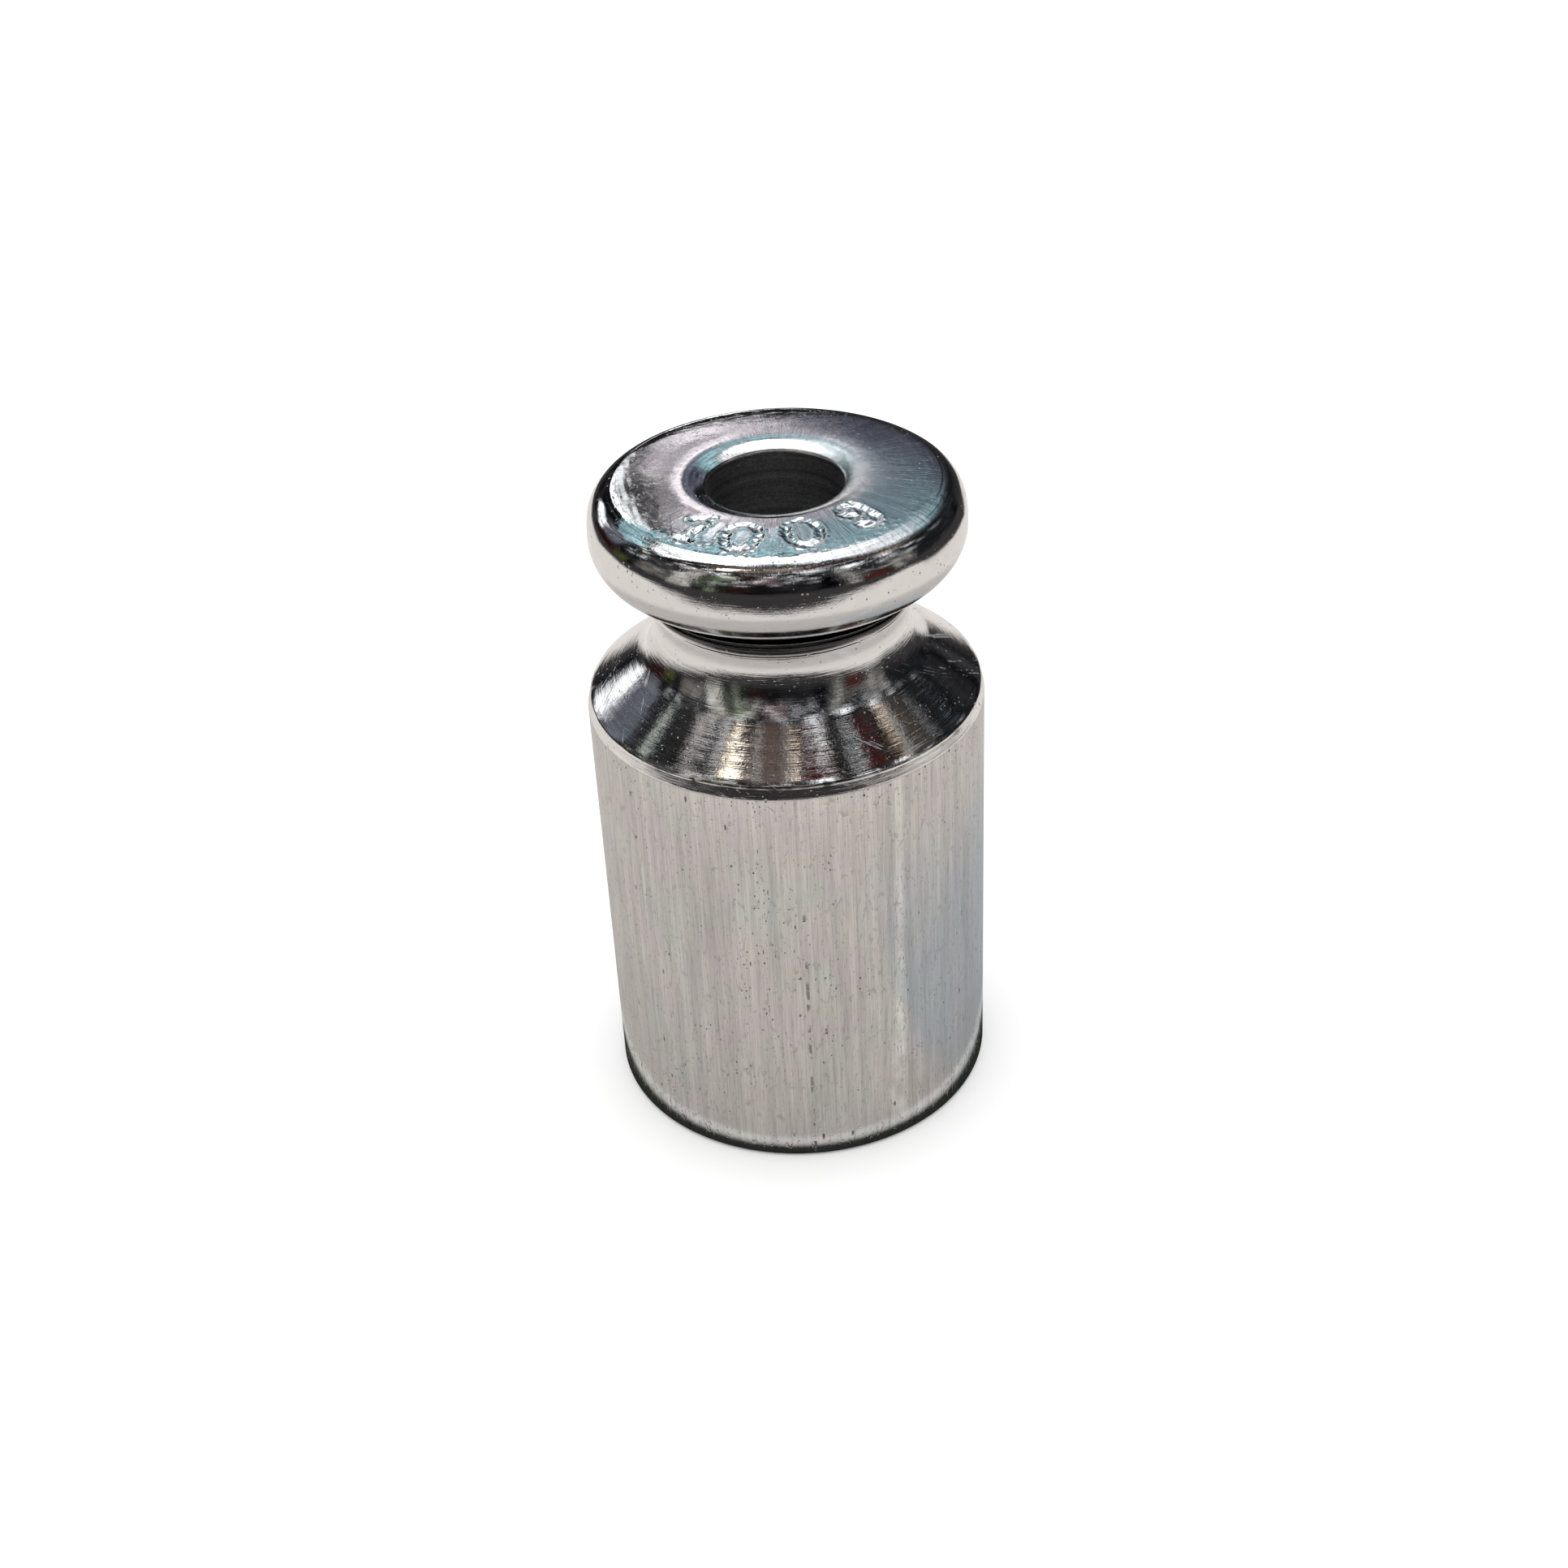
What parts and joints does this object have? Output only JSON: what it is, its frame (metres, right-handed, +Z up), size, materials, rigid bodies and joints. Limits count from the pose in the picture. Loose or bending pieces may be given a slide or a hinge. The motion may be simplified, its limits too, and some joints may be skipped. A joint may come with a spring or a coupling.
{
  "type": "calibration weight",
  "caption": "Cylindrical knob weight of chrome-plated steel for a balance, with a hollow neck and an adjusting cavity in the knob.",
  "frame": {"origin": "middle of the flat base that the weight stands on", "axes": "+Z up along the axis of the weight, from the base to the knob; -Y is the front, where the nominal mass is stamped along the near edge of the top face"},
  "size_m": [0.0224, 0.0224, 0.0388],
  "materials": {
    "plated_steel": "turned steel, chrome plated and polished; worn, with fine pits, hairline scratches and faint tool rings",
    "plug_lead": "dull grey lead, pressed in and punched",
    "shot_lead": "dull grey lead shot"
  },
  "bodies": {
    "root": {"weight_body": "plated_steel", "cavity_plug": "plug_lead", "adjusting_shot": "shot_lead"}
  },
  "joints": []
}
